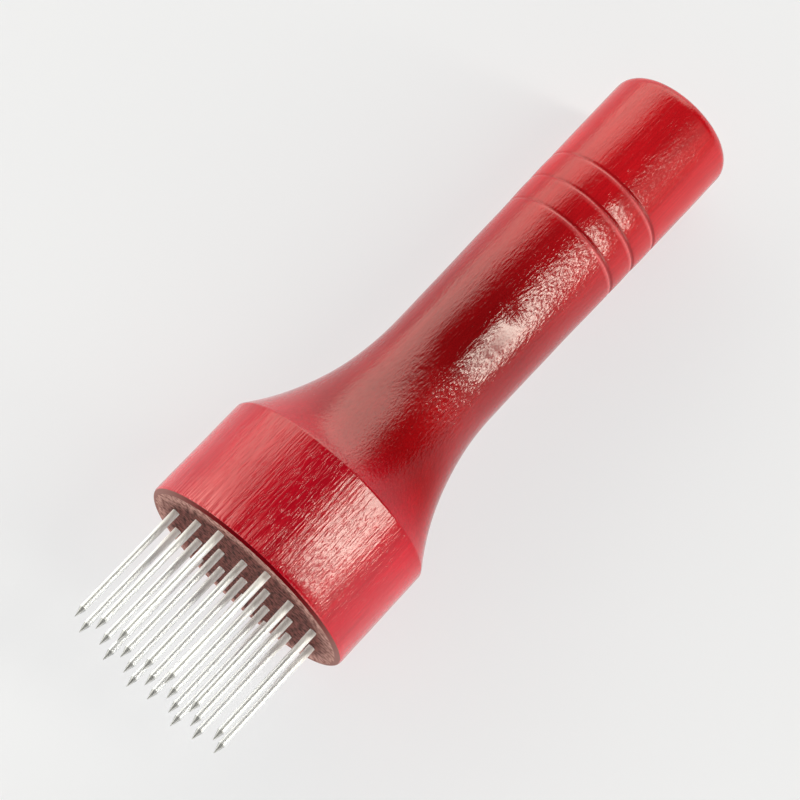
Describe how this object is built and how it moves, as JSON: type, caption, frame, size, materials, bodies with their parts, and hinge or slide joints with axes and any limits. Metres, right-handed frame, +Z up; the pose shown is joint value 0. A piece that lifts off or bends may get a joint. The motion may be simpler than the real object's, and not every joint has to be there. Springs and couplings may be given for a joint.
{
  "type": "needle meat tenderizer",
  "caption": "Hand-held meat tenderizer: a turned, red-stained wooden handle whose broad flat head carries a bed of fixed, pointed steel needles.",
  "frame": {"origin": "on the surface that the tool lies on, under the middle of its bounding box", "axes": "+Z up from that surface; +X along the tool, from the needles towards the butt, which lies lower than the head; the tool is symmetric about the XZ plane"},
  "size_m": [0.1676, 0.0498, 0.0518],
  "materials": {
    "lacquered_wood": "red-stained, clear lacquered",
    "needle_steel": "polished"
  },
  "bodies": {
    "root": {"handle": "lacquered_wood", "needle_01": "needle_steel", "needle_02": "needle_steel", "needle_03": "needle_steel", "needle_04": "needle_steel", "needle_05": "needle_steel", "needle_06": "needle_steel", "needle_07": "needle_steel", "needle_08": "needle_steel", "needle_09": "needle_steel", "needle_10": "needle_steel", "needle_11": "needle_steel", "needle_12": "needle_steel", "needle_13": "needle_steel", "needle_14": "needle_steel", "needle_15": "needle_steel", "needle_16": "needle_steel", "needle_17": "needle_steel", "needle_18": "needle_steel", "needle_19": "needle_steel", "needle_20": "needle_steel", "needle_21": "needle_steel"}
  },
  "joints": []
}
